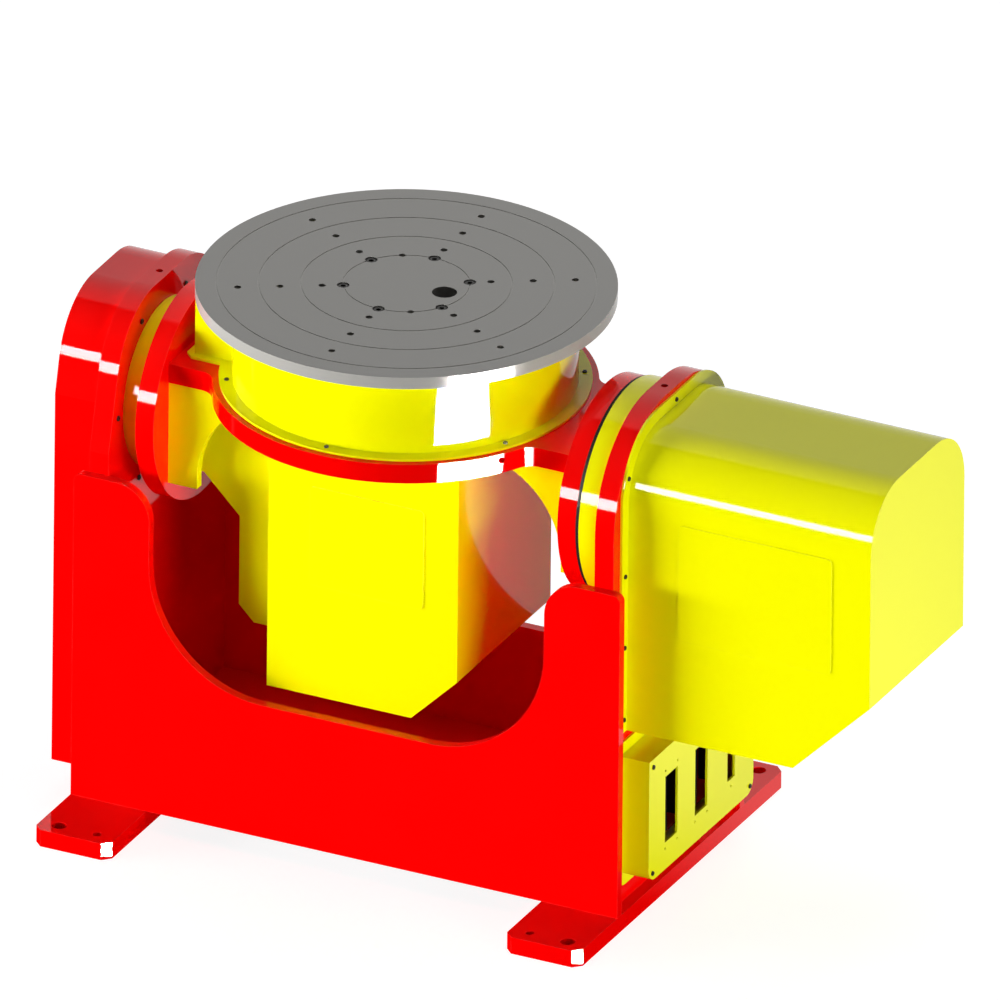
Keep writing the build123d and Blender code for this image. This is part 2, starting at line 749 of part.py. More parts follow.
def cable_duct():
    half = DUCT_HALF - COVER_WALL
    duct = slab_y(duct_outline(0), TILT_Y - DUCT_HALF, TILT_Y + DUCT_HALF)
    duct -= slab_y(duct_outline(COVER_WALL), TILT_Y - half, TILT_Y + half)
    return duct - rod_x(CABLE_BORE_R, -DISC_INNER_X, -DISC_INNER_X + COVER_WALL)


# Turntable


def spindle():
    """Hollow spindle: shaft in the gear unit, body in the bearing and a top flange."""
    shaft_foot = CRADLE_UNDER - SHAFT_REACH
    shoulder = CRADLE_RING_TOP + SPINDLE_LIFT
    floor = shoulder + SPINDLE_FLANGE_THICK
    body = rod_z(SPINDLE_R, shoulder, TABLE_UNDER) + rod_z(TRUNNION_R, shaft_foot, shoulder)
    body += rod_z(SPINDLE_FLANGE_R, TABLE_UNDER - SPINDLE_FLANGE_THICK, TABLE_UNDER)
    body -= rod_z(SPINDLE_BORE_R, floor, TABLE_UNDER) + rod_z(SHAFT_BORE_R, shaft_foot, floor)
    for x, y in circle_points(TABLE_BOLT_R, 6, FIXTURE_START_DEG):
        body -= rod_z(TABLE_BOLT_DIA / 2, TABLE_UNDER - TABLE_BOLT_REACH, TABLE_UNDER, x, TILT_Y + y)
    return body


def table_bearing_outer():
    z1 = CRADLE_RING_TOP + TABLE_BEARING_HEIGHT
    return rod_z(TABLE_BEARING_OUT_R, CRADLE_RING_TOP, z1) - rod_z(TABLE_BEARING_R, CRADLE_RING_TOP, z1)


def table_bearing_inner():
    z0 = CRADLE_RING_TOP + SPINDLE_LIFT
    z1 = z0 + TABLE_BEARING_HEIGHT
    ring = rod_z(TABLE_BEARING_R - RUNNING_GAP, z0, z1)
    return ring - rod_z(SPINDLE_R + SEAT_GAP, z0, z1)


def groove(radius):
    profile = Pos(radius, TABLE_TOP) * Rectangle(GROOVE_WIDTH, 2 * GROOVE_DEPTH)
    return Pos(0, TILT_Y, 0) * revolve(Plane.XZ * profile, Axis.Z)


def turntable():
    plan = Circle(TABLE_R)
    for radius in FIXTURE_RADII:
        for x, y in circle_points(radius, 6, FIXTURE_START_DEG):
            plan -= Pos(x, y) * Circle(FIXTURE_DIA / 2)
    for x, y in circle_points(TABLE_BOLT_R, 6, FIXTURE_START_DEG):
        plan -= Pos(x, y) * Circle(TABLE_BOLT_DIA / 2 + TABLE_BOLT_GAP)
    for x, y in circle_points(TABLE_BOLT_R, 2, 120):
        plan -= Pos(x, y) * Circle(DOWEL_DIA / 2)
    plan -= Pos(PORT_X, 0) * Circle(PORT_DIA / 2)
    table = slab_z(Pos(0, TILT_Y) * plan, TABLE_UNDER, TABLE_TOP)
    for x, y in circle_points(TABLE_BOLT_R, 6, FIXTURE_START_DEG):
        table -= rod_z(COUNTERBORE_DIA / 2, TABLE_TOP - COUNTERBORE_DEPTH, TABLE_TOP, x, TILT_Y + y)
    for radius in GROOVE_RADII:
        table -= groove(radius)
    return table


def table_bolts():
    """Cap screws sunk in the counterbores, with hexagon sockets."""
    foot = TABLE_UNDER - TABLE_BOLT_REACH
    seat = TABLE_TOP - COUNTERBORE_DEPTH
    top = seat + TABLE_BOLT_HEAD
    bolts = []
    for x, y in circle_points(TABLE_BOLT_R, 6, FIXTURE_START_DEG):
        bolt = rod_z(TABLE_BOLT_DIA / 2 - SEAT_GAP, foot, seat, x, TILT_Y + y)
        bolt += rod_z(TABLE_BOLT_HEAD_DIA / 2, seat, top, x, TILT_Y + y)
        socket = Pos(x, TILT_Y + y) * RegularPolygon(HEX_R, 6)
        bolts += solids(bolt - slab_z(socket, top - HEX_DEPTH, top))
    return bolts


NODES = {
    "left_foot_rail": lambda: foot_rail(-1),
    "right_foot_rail": lambda: foot_rail(1),
    "front_plate": lambda: end_plate(FRONT_Y - PLATE_THICK, FRONT_Y),
    "rear_plate": lambda: end_plate(REAR_Y, REAR_Y + PLATE_THICK),
    "left_upright": idler_upright,
    "right_upright": drive_upright,
    "floor_plate": floor_plate,
    "left_bearing_ring": lambda: bearing_ring(-1),
    "right_bearing_ring": lambda: bearing_ring(1),
    "left_ring_seal": lambda: ring_seal(-1),
    "right_ring_seal": lambda: ring_seal(1),
    "idler_bearing_outer": idler_bearing_outer,
    "idler_bearing_cap": idler_bearing_cap,
    "idler_cap_screws": idler_cap_screws,
    "idler_cover": idler_cover,
    "tilt_gear_unit": tilt_gear,
    "tilt_motor_plate": tilt_motor_plate,
    "tilt_motor": tilt_motor,
    "tilt_cover": tilt_cover,
    "tilt_cover_screws": tilt_cover_screws,
    "tilt_cover_panel": tilt_cover_panel,
    "connector_box": connector_box,
    "connector_lid": connector_lid,
    "connector_lid_screws": connector_lid_screws,
    "cradle_plate": cradle_plate,
    "left_trunnion_disc": lambda: trunnion_disc(-1),
    "right_trunnion_disc": lambda: trunnion_disc(1),
    "front_left_gusset": lambda: gusset(-1, -1, IDLER_GUSSET_FOOT),
    "rear_left_gusset": lambda: gusset(-1, 1, IDLER_GUSSET_FOOT),
    "front_right_gusset": lambda: gusset(1, -1, DRIVE_GUSSET_FOOT),
    "rear_right_gusset": lambda: gusset(1, 1, DRIVE_GUSSET_FOOT),
    "idler_trunnion": idler_trunnion,
    "drive_trunnion": drive_trunnion,
    "left_trunnion_bolts": lambda: trunnion_bolts(-1),
    "right_trunnion_bolts": lambda: trunnion_bolts(1),
    "idler_bearing_inner": idler_bearing_inner,
    "idler_lock_nut": idler_lock_nut,
    "table_shroud": shroud,
    "shroud_screws": shroud_screws,
    "motor_box": motor_box,
    "motor_box_panel": motor_box_panel,
    "cable_duct": cable_duct,
    "table_gear_unit": table_gear,
    "table_motor_plate": table_motor_plate,
    "table_motor": table_motor,
    "table_bearing_outer": table_bearing_outer,
    "table_bearing_inner": table_bearing_inner,
    "table_spindle": spindle,
    "turntable": turntable,
    "table_bolts": table_bolts,
}

os.makedirs("parts", exist_ok=True)
for name, make in NODES.items():
    shape = make()
    pieces = shape if isinstance(shape, list) else solids(shape)
    export_step(Compound(children=pieces) if len(pieces) > 1 else pieces[0], f"parts/{name}.step")
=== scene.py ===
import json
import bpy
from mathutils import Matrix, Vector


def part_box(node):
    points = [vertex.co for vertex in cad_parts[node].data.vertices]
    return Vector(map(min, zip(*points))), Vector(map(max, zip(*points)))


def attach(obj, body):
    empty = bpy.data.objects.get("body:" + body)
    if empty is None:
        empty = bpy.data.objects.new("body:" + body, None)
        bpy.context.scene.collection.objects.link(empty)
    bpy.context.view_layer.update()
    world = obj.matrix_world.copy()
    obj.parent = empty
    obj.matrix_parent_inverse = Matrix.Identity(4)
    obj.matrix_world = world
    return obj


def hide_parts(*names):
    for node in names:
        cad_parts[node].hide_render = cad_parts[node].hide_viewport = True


bl_info = {
    "name": "Workpiece positioner",
    "version": (1, 0, 0),
    "blender": (4, 5, 0),
    "location": "View3D > Sidebar > Positioner",
    "description": "Dresses a two-axis workpiece positioner with its finishes, fasteners and studio",
    "category": "Object",
}

from math import cos, radians, sin

import bmesh
import bpy
from mathutils import Matrix, Vector

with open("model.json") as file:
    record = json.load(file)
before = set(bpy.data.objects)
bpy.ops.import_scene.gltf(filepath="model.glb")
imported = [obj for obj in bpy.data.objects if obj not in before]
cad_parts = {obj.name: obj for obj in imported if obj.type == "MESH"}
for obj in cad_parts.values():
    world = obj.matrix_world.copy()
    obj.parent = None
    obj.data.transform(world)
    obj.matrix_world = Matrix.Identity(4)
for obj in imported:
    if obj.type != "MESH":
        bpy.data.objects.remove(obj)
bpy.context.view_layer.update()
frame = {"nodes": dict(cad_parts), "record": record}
NODES = frame["nodes"]

# Axes shared by many pieces
TURN_Y = sum(corner.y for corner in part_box("turntable")) / 2
TABLE_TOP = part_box("turntable")[1].z
RAIL_CORNERS = [
    Vector((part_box(rail)[1].x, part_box(rail)[0].y, 0))
    for rail in ("left_foot_rail", "right_foot_rail")
]

# Head heights of the fasteners and the table bolt's shank, as the CAD has them
COVER_HEAD = 0.002
CAP_HEAD = 0.005
TRUNNION_HEAD = 0.006
TABLE_BOLT_HEAD = 0.008
TABLE_SHANK_RADIUS = 0.00398

# Connector inserts behind the slots of the connector lid
SLOT_SHIFTS = (-0.08, 0.0, 0.08)
SLOT_MID_Z = 0.139
INSERT_SIZES = ((0.037, 0.091), (0.037, 0.091), (0.024, 0.079))
INSERT_RIM = 0.002
INSERT_SET_BACK = 0.014
INSERT_DEPTH = 0.02

# Screws on the left upright round the bearing ring
RING_SCREW_RADIUS = 0.118
RING_SCREW_HEAD = 0.0034
RING_SCREW_ANGLES = (1, 61, 121, 181, 241, 301)

# Small cards beside the ring and the rails' front corners: name, share of power, size, place and beam
CARD_FACING = (-0.81, 0.38, 0.446)
CARDS = (
    ("Ring card", 0.99, (0.16, 0.38), (0.256, -0.217, 0.53), 100),
    ("Left rail card", 0.012, (0.08, 0.06), (RAIL_CORNERS[0].x + 0.0046, RAIL_CORNERS[0].y, 0.0056), 24),
    ("Right rail card", 0.012, (0.08, 0.06), (RAIL_CORNERS[1].x + 0.0046, RAIL_CORNERS[1].y, 0.0056), 24),
)

# The photograph is an orthographic view
VIEW_ACROSS = (0.75925721, 0.37424399, 0.00746747)
VIEW_DOWN = (0.17302786, -0.33592002, -0.75749913)
VIEW_SIZE_PX = 1000
TABLE_CENTRE_PX = (406.55, 283.45)
VIEW_DISTANCE = 6.0

# The studio
FLOOR_REACH = 12
FLOOR_GLOW = 0.88
AIM = (0.1, 0.0, 0.35)

# Low lamps: name, share of their power, place and what they look at
LOW_LAMPS = (
    ("Low right", 0.67, (1.7, -0.2, 0.14), (0.3, 0.0, 0.6)),
    ("Low left front", 0.33, (-1.6, -1.5, 0.14), (-0.64, 0.0, 0.6)),
)


class PositionerPaint(bpy.types.PropertyGroup):
    """Colours and gloss of the painted pieces."""

    red: bpy.props.FloatVectorProperty(
        name="Frame red", description="Paint of the frame and the cradle",
        subtype="COLOR", size=3, min=0, max=1, default=(0.95, 0.0, 0.0))
    yellow: bpy.props.FloatVectorProperty(
        name="Cover yellow", description="Paint of the covers, rings and gussets",
        subtype="COLOR", size=3, min=0, max=1, default=(0.93, 0.93, 0.0))
    gloss: bpy.props.FloatProperty(
        name="Roughness", description="Roughness of the lacquer", min=0.0, max=1.0, default=0.03)
    wear: bpy.props.FloatProperty(
        name="Edge wear", description="How far the paint is rubbed at its edges", min=0, max=1, default=0.15)


class PositionerMetal(bpy.types.PropertyGroup):
    """Colours of the bare and blackened metal."""

    table: bpy.props.FloatVectorProperty(
        name="Table steel", description="Ground steel of the turntable",
        subtype="COLOR", size=3, min=0, max=1, default=(0.44, 0.43, 0.405))
    screw: bpy.props.FloatVectorProperty(
        name="Screw black", description="Blackened steel of the screws",
        subtype="COLOR", size=3, min=0, max=1, default=(0.02, 0.018, 0.015))
    turned: bpy.props.FloatVectorProperty(
        name="Turned steel", description="Machined shafts and bearing races",
        subtype="COLOR", size=3, min=0, max=1, default=(0.55, 0.55, 0.56))
    casting: bpy.props.FloatVectorProperty(
        name="Cast aluminium", description="Reducer housings and motor plates",
        subtype="COLOR", size=3, min=0, max=1, default=(0.48, 0.49, 0.5))
    motor: bpy.props.FloatVectorProperty(
        name="Motor black", description="Anodised housings of the servo motors",
        subtype="COLOR", size=3, min=0, max=1, default=(0.03, 0.03, 0.035))
    seal: bpy.props.FloatVectorProperty(
        name="Seal rubber", description="Ring seals",
        subtype="COLOR", size=3, min=0, max=1, default=(0.012, 0.012, 0.012))


class PositionerScrews(bpy.types.PropertyGroup):
    """Sizes of the fasteners that the CAD leaves plain."""

    edge: bpy.props.FloatProperty(
        name="Head edge", description="Chamfer round a screw's head",
        unit="LENGTH", min=0.0001, default=0.0006)
    cover: bpy.props.FloatProperty(
        name="Cover head share", description="Size of the cover screws' heads, as a share of their room",
        min=0.5, max=1.0, default=0.85)
    socket: bpy.props.FloatProperty(
        name="Socket share", description="Radius of the socket as a share of the head's radius",
        min=0.2, max=0.8, default=0.52)
    depth: bpy.props.FloatProperty(
        name="Socket depth share", description="Depth of the socket as a share of the head's height",
        min=0.2, max=0.9, default=0.6)


class PositionerStage(bpy.types.PropertyGroup):
    """Floor and lamps."""

    floor: bpy.props.FloatVectorProperty(
        name="Floor", description="Colour of the studio floor",
        subtype="COLOR", size=3, min=0, max=1, default=(0.35, 0.35, 0.35))
    key: bpy.props.FloatProperty(
        name="Key lamp", description="Power of the broad lamp on the left of the camera",
        unit="POWER", min=0, default=560)
    side: bpy.props.FloatProperty(
        name="Side lamp", description="Power of the broad lamp on the right",
        unit="POWER", min=0, default=200)
    top: bpy.props.FloatProperty(
        name="Top lamp", description="Power of the lamp above the object",
        unit="POWER", min=0, default=84)
    rear: bpy.props.FloatProperty(
        name="Rear lamp", description="Power of the lamp behind the object",
        unit="POWER", min=0, default=65)
    low: bpy.props.FloatProperty(
        name="Low lamps", description="Power shared by the low lamps on the camera's side",
        unit="POWER", min=0, default=9)
    strip: bpy.props.FloatProperty(
        name="Strip lamp", description="Power of the long lamp that draws the level highlight",
        unit="POWER", min=0, default=1300)
    card: bpy.props.FloatProperty(
        name="Card lamp", description="Power of the small card that draws the upright highlight",
        unit="POWER", min=0, default=14)
    ambient: bpy.props.FloatProperty(
        name="Ambient", description="Grey level of the room's light", min=0, max=1, default=0.02)


# Shader groups


def new_group(name, inputs, outputs):
    """An empty shader group with its sockets, and its input and output nodes."""
    group = bpy.data.node_groups.new(name, "ShaderNodeTree")
    for label, kind, value in inputs:
        socket = group.interface.new_socket(label, in_out="INPUT", socket_type=kind)
        if value is not None:
            socket.default_value = value
    for label, kind in outputs:
        group.interface.new_socket(label, in_out="OUTPUT", socket_type=kind)
    return group, group.nodes.new("NodeGroupInput"), group.nodes.new("NodeGroupOutput")


def math_node(tree, operation, first, second=None, clamp=False):
    node = tree.nodes.new("ShaderNodeMath")
    node.operation = operation
    node.use_clamp = clamp
    for socket, value in zip(node.inputs, (first, second)):
        if isinstance(value, bpy.types.NodeSocket):
            tree.links.new(value, socket)
        elif value is not None:
            socket.default_value = value
    return node.outputs[0]


def noise_node(tree, scale, detail=2.0):
    noise = tree.nodes.new("ShaderNodeTexNoise")
    noise.inputs["Scale"].default_value = scale
    noise.inputs["Detail"].default_value = detail
    tree.links.new(tree.nodes.new("ShaderNodeTexCoord").outputs["Object"], noise.inputs["Vector"])
    return noise.outputs["Fac"]


def make_edge_wear_group():
    """Mask of the outer edges, broken up by noise."""
    group, given, out = new_group(
        "Edge Wear",
        [("Width", "NodeSocketFloat", 0.002), ("Amount", "NodeSocketFloat", 0.2)],
        [("Mask", "NodeSocketFloat")])
    links = group.links
    bevel = group.nodes.new("ShaderNodeBevel")
    bevel.samples = 4
    links.new(given.outputs["Width"], bevel.inputs["Radius"])
    geometry = group.nodes.new("ShaderNodeNewGeometry")
    dot = group.nodes.new("ShaderNodeVectorMath")
    dot.operation = "DOT_PRODUCT"
    links.new(bevel.outputs["Normal"], dot.inputs[0])
    links.new(geometry.outputs["Normal"], dot.inputs[1])
    turned_away = math_node(group, "SUBTRACT", 1.0, dot.outputs["Value"])
    edge = math_node(group, "MULTIPLY", turned_away, 8.0, clamp=True)
    broken = math_node(group, "POWER", noise_node(group, 90.0, 4.0), 2.0)
    rubbed = math_node(group, "MULTIPLY", edge, broken)
    scaled = math_node(group, "MULTIPLY", rubbed, 4.0)
    mask = math_node(group, "MULTIPLY", scaled, given.outputs["Amount"], clamp=True)
    links.new(mask, out.inputs["Mask"])
    return group


def make_dust_group():
    """Thin dust on faces that look up."""
    group, given, out = new_group(
        "Dust",
        [("Amount", "NodeSocketFloat", 0.1)],
        [("Mask", "NodeSocketFloat")])
    links = group.links
    geometry = group.nodes.new("ShaderNodeNewGeometry")
    split = group.nodes.new("ShaderNodeSeparateXYZ")
    links.new(geometry.outputs["Normal"], split.inputs[0])
    up = math_node(group, "SMOOTH_MAX", split.outputs["Z"], 0.0)
    cloud = math_node(group, "MULTIPLY", noise_node(group, 14.0, 6.0), up)
    mask = math_node(group, "MULTIPLY", cloud, given.outputs["Amount"], clamp=True)
    links.new(mask, out.inputs["Mask"])
    return group


def make_orange_peel_group():
    """Faint waviness and change of gloss of a sprayed lacquer."""
    group, given, out = new_group(
        "Orange Peel",
        [("Depth", "NodeSocketFloat", 0.1), ("Roughness", "NodeSocketFloat", 0.1)],
        [("Height", "NodeSocketFloat"), ("Roughness", "NodeSocketFloat")])
    peel = math_node(group, "MULTIPLY", noise_node(group, 320.0, 1.0), given.outputs["Depth"])
    group.links.new(peel, out.inputs["Height"])
    patches = math_node(group, "MULTIPLY", noise_node(group, 9.0, 3.0), 0.03)
    group.links.new(math_node(group, "ADD", given.outputs["Roughness"], patches), out.inputs["Roughness"])
    return group


def make_turning_group():
    """Fine rings left by turning, round an upright axis."""
    group, given, out = new_group(
        "Turning Marks",
        [("Axis Y", "NodeSocketFloat", 0.0), ("Pitch", "NodeSocketFloat", 0.0008)],
        [("Height", "NodeSocketFloat"), ("Shade", "NodeSocketFloat")])
    links = group.links
    place = group.nodes.new("ShaderNodeSeparateXYZ")
    links.new(group.nodes.new("ShaderNodeTexCoord").outputs["Object"], place.inputs[0])
    y = math_node(group, "SUBTRACT", place.outputs["Y"], given.outputs["Axis Y"])
    squares = math_node(group, "ADD", math_node(group, "POWER", math_node(group, "ABSOLUTE", y), 2.0),
                        math_node(group, "POWER", math_node(group, "ABSOLUTE", place.outputs["X"]), 2.0))
    radius = math_node(group, "SQRT", squares)
    turns = math_node(group, "DIVIDE", radius, given.outputs["Pitch"])
    rings = group.nodes.new("ShaderNodeTexNoise")
    rings.noise_dimensions = "1D"
    rings.inputs["Scale"].default_value = 1.0
    rings.inputs["Detail"].default_value = 3.0
    links.new(turns, rings.inputs["W"])
    links.new(rings.outputs["Fac"], out.inputs["Height"])
    cloud = math_node(group, "MULTIPLY", noise_node(group, 6.0, 4.0), 0.35)
    links.new(math_node(group, "ADD", cloud, math_node(group, "MULTIPLY", rings.outputs["Fac"], 0.3)),
              out.inputs["Shade"])
    return group


GROUPS = {}


def shader_group(name):
    if not GROUPS:
        GROUPS["Edge Wear"] = make_edge_wear_group()
        GROUPS["Dust"] = make_dust_group()
        GROUPS["Orange Peel"] = make_orange_peel_group()
        GROUPS["Turning Marks"] = make_turning_group()
    return GROUPS[name]


def place_group(tree, name, **values):
    node = tree.nodes.new("ShaderNodeGroup")
    node.node_tree = shader_group(name)
    for label, value in values.items():
        node.inputs[label.replace("_", " ")].default_value = value
    return node


def new_material(name):
    material = bpy.data.materials.new(name)
    material.use_nodes = True
    tree = material.node_tree
    return material, tree, tree.nodes["Principled BSDF"]


def mix_colour(tree, mask, first, second):
    mix = tree.nodes.new("ShaderNodeMix")
    mix.data_type = "RGBA"
    tree.links.new(mask, mix.inputs["Factor"])
    for socket, value in ((mix.inputs["A"], first), (mix.inputs["B"], second)):
        if isinstance(value, bpy.types.NodeSocket):
            tree.links.new(value, socket)
        else:
            socket.default_value = (*value, 1)
    return mix.outputs["Result"]


def bump(tree, height, strength, distance):
    node = tree.nodes.new("ShaderNodeBump")
    node.inputs["Strength"].default_value = strength
    node.inputs["Distance"].default_value = distance
    tree.links.new(height, node.inputs["Height"])
    return node.outputs["Normal"]


def lacquer(name, colour, paint):
    """Sprayed gloss paint: a clean colour, faint peel, rubbed edges and a little dust."""
    material, tree, shader = new_material(name)
    peel = place_group(tree, "Orange Peel", Depth=1.0, Roughness=paint.gloss)
    wear = place_group(tree, "Edge Wear", Width=0.0015, Amount=paint.wear)
    dust = place_group(tree, "Dust", Amount=0.02)
    rubbed = tuple(0.55 * c + 0.12 for c in colour)
    clean = mix_colour(tree, wear.outputs["Mask"], colour, rubbed)
    dusty = mix_colour(tree, dust.outputs["Mask"], clean, (0.5, 0.47, 0.42))
    tree.links.new(dusty, shader.inputs["Base Color"])
    tree.links.new(peel.outputs["Roughness"], shader.inputs["Roughness"])
    tree.links.new(bump(tree, peel.outputs["Height"], 0.05, 0.0001), shader.inputs["Normal"])
    shader.inputs["IOR"].default_value = 1.3
    return material


def ground_steel(name, colour):
    """Ground and turned table steel, dull, with fine rings."""
    material, tree, shader = new_material(name)
    rings = place_group(tree, "Turning Marks", Axis_Y=TURN_Y, Pitch=0.0007)
    wear = place_group(tree, "Edge Wear", Width=0.001, Amount=0.6)
    darker = tuple(0.92 * c for c in colour)
    lighter = tuple(min(1.0, 1.35 * c) for c in colour)
    shade = mix_colour(tree, rings.outputs["Shade"], colour, darker)
    tree.links.new(mix_colour(tree, wear.outputs["Mask"], shade, lighter), shader.inputs["Base Color"])
    tree.links.new(bump(tree, rings.outputs["Height"], 0.08, 0.0001), shader.inputs["Normal"])
    shader.inputs["Roughness"].default_value = 0.16
    shader.inputs["IOR"].default_value = 1.3
    return material


def plain_metal(name, colour, roughness, metallic, grain):
    """Machined, cast or blackened metal with a fine grain."""
    material, tree, shader = new_material(name)
    wear = place_group(tree, "Edge Wear", Width=0.0008, Amount=0.5)
    lighter = tuple(min(1.0, 1.5 * c + 0.03) for c in colour)
    tree.links.new(mix_colour(tree, wear.outputs["Mask"], colour, lighter), shader.inputs["Base Color"])
    tree.links.new(bump(tree, noise_node(tree, grain, 3.0), 0.15, 0.0001), shader.inputs["Normal"])
    shader.inputs["Metallic"].default_value = metallic
    shader.inputs["Roughness"].default_value = roughness
    return material


def rubber(name, colour):
    material, tree, shader = new_material(name)
    dust = place_group(tree, "Dust", Amount=0.03)
    dusty = mix_colour(tree, dust.outputs["Mask"], colour, (0.2, 0.19, 0.18))
    tree.links.new(dusty, shader.inputs["Base Color"])
    tree.links.new(bump(tree, noise_node(tree, 900.0, 2.0), 0.2, 0.0001), shader.inputs["Normal"])
    shader.inputs["Roughness"].default_value = 0.6
    shader.inputs["Specular IOR Level"].default_value = 0.1
    return material


MATERIALS = {}


def finish_of(slot):
    """The material of one of the record's slots."""
    if not MATERIALS:
        scene = bpy.context.scene
        paint, metal = scene.positioner_paint, scene.positioner_metal
        MATERIALS["red_paint"] = lacquer("Frame red lacquer", tuple(paint.red), paint)
        MATERIALS["yellow_paint"] = lacquer("Cover yellow lacquer", tuple(paint.yellow), paint)
        MATERIALS["table_steel"] = ground_steel("Ground table steel", tuple(metal.table))
        MATERIALS["machined_steel"] = plain_metal("Turned steel", tuple(metal.turned), 0.3, 1.0, 500.0)
        MATERIALS["gear_casing"] = plain_metal("Cast aluminium", tuple(metal.casting), 0.5, 0.9, 700.0)
        MATERIALS["motor_casing"] = plain_metal("Black anodised motor", tuple(metal.motor), 0.4, 0.5, 600.0)
        MATERIALS["screws"] = plain_metal("Blackened screws", tuple(metal.screw), 0.5, 0.1, 800.0)
        MATERIALS["seal"] = rubber("Seal rubber", tuple(metal.seal))
    return MATERIALS[slot]


def paint_nodes(names):
    """Give CAD nodes the finish of their slot."""
    slots = {part["node"]: part["material_slot"] for part in frame["record"]["subparts"]}
    for name in names:
        node = NODES[name]
        node.data.materials.clear()
        node.data.materials.append(finish_of(slots[name]))


# Fasteners


def link_input(tree, socket, value):
    """Join a socket to another socket, or set it."""
    if isinstance(value, bpy.types.NodeSocket):
        tree.links.new(value, socket)
    else:
        socket.default_value = value


def geometry_node(tree, kind, **inputs):
    """A geometry node with its inputs, named by their labels, linked or set."""
    node = tree.nodes.new(kind)
    for label, value in inputs.items():
        link_input(tree, node.inputs[label.replace("_", " ")], value)
    return node


def raised(tree, height):
    """An offset along Z."""
    return geometry_node(tree, "ShaderNodeCombineXYZ", Z=height).outputs[0]


def finish_tree(tree, solid, material):
    """The material and the output at a tree's end."""
    finished = geometry_node(tree, "GeometryNodeSetMaterial", Geometry=solid.outputs[0], Material=material)
    out = tree.nodes.new("NodeGroupOutput")
    tree.links.new(finished.outputs[0], out.inputs[0])
    return tree


def make_screw_tree():
    """Cap screws on the points of a mesh: a chamfered head with a hexagon socket, and a shank."""
    tree = bpy.data.node_groups.new("Cap Screws", "GeometryNodeTree")
    interface = tree.interface
    interface.new_socket("Points", in_out="INPUT", socket_type="NodeSocketGeometry")
    for label, value in (("Head Radius", 0.0034), ("Head Height", 0.002), ("Edge", 0.0006),
                         ("Socket Radius", 0.0018), ("Socket Depth", 0.001),
                         ("Shank Radius", 0.001), ("Shank Length", 0.0)):
        interface.new_socket(label, in_out="INPUT", socket_type="NodeSocketFloat").default_value = value
    interface.new_socket("Facing", in_out="INPUT", socket_type="NodeSocketVector").default_value = (0, 0, 1)
    interface.new_socket("Finish", in_out="INPUT", socket_type="NodeSocketMaterial")
    interface.new_socket("Screws", in_out="OUTPUT", socket_type="NodeSocketGeometry")
    given = tree.nodes.new("NodeGroupInput").outputs
    radius, height, edge = given["Head Radius"], given["Head Height"], given["Edge"]

    foot = geometry_node(tree, "GeometryNodeMeshCircle", Radius=radius, Vertices=32)
    foot.fill_type = "NGON"
    under = geometry_node(tree, "GeometryNodeFlipFaces", Mesh=foot.outputs[0])
    side = geometry_node(tree, "GeometryNodeExtrudeMesh", Mesh=foot.outputs[0], Individual=False,
                         Offset=raised(tree, 1.0), Offset_Scale=math_node(tree, "SUBTRACT", height, edge))
    rim = geometry_node(tree, "GeometryNodeExtrudeMesh", Mesh=side.outputs["Mesh"],
                        Selection=side.outputs["Top"], Individual=False,
                        Offset=raised(tree, 1.0), Offset_Scale=edge)
    inner = math_node(tree, "DIVIDE", math_node(tree, "SUBTRACT", radius, edge), radius)
    drawn_in = geometry_node(tree, "GeometryNodeScaleElements", Geometry=rim.outputs["Mesh"],
                             Selection=rim.outputs["Top"], Scale=inner)
    shell = tree.nodes.new("GeometryNodeJoinGeometry")
    tree.links.new(drawn_in.outputs[0], shell.inputs[0])
    tree.links.new(under.outputs[0], shell.inputs[0])
    head = geometry_node(tree, "GeometryNodeMergeByDistance", Geometry=shell.outputs[0], Distance=0.00001)

    depth = given["Socket Depth"]
    hexagon = geometry_node(tree, "GeometryNodeMeshCylinder", Vertices=6, Radius=given["Socket Radius"],
                            Depth=math_node(tree, "MULTIPLY", depth, 2.0))
    sunk = geometry_node(tree, "GeometryNodeTransform", Geometry=hexagon.outputs[0],
                         Translation=raised(tree, height))
    cut_head = tree.nodes.new("GeometryNodeMeshBoolean")
    cut_head.operation = "DIFFERENCE"
    tree.links.new(head.outputs[0], cut_head.inputs["Mesh 1"])
    tree.links.new(sunk.outputs[0], cut_head.inputs["Mesh 2"])

    length = given["Shank Length"]
    rod = geometry_node(tree, "GeometryNodeMeshCylinder", Vertices=24,
                        Radius=given["Shank Radius"], Depth=length)
    down = geometry_node(tree, "GeometryNodeTransform", Geometry=rod.outputs[0],
                         Translation=raised(tree, math_node(tree, "MULTIPLY", length, -0.5)))
    choose = tree.nodes.new("GeometryNodeSwitch")
    choose.input_type = "GEOMETRY"
    tree.links.new(math_node(tree, "GREATER_THAN", length, 0.0001), choose.inputs["Switch"])
    tree.links.new(down.outputs[0], choose.inputs["True"])
    screw = tree.nodes.new("GeometryNodeJoinGeometry")
    tree.links.new(cut_head.outputs[0], screw.inputs[0])
    tree.links.new(choose.outputs[0], screw.inputs[0])

    turn = tree.nodes.new("FunctionNodeAlignRotationToVector")
    turn.axis = "Z"
    tree.links.new(given["Facing"], turn.inputs["Vector"])
    placed = geometry_node(tree, "GeometryNodeInstanceOnPoints", Points=given["Points"],
                           Instance=screw.outputs[0], Rotation=turn.outputs[0])
    solid = geometry_node(tree, "GeometryNodeRealizeInstances", Geometry=placed.outputs[0])
    return finish_tree(tree, solid, given["Finish"])


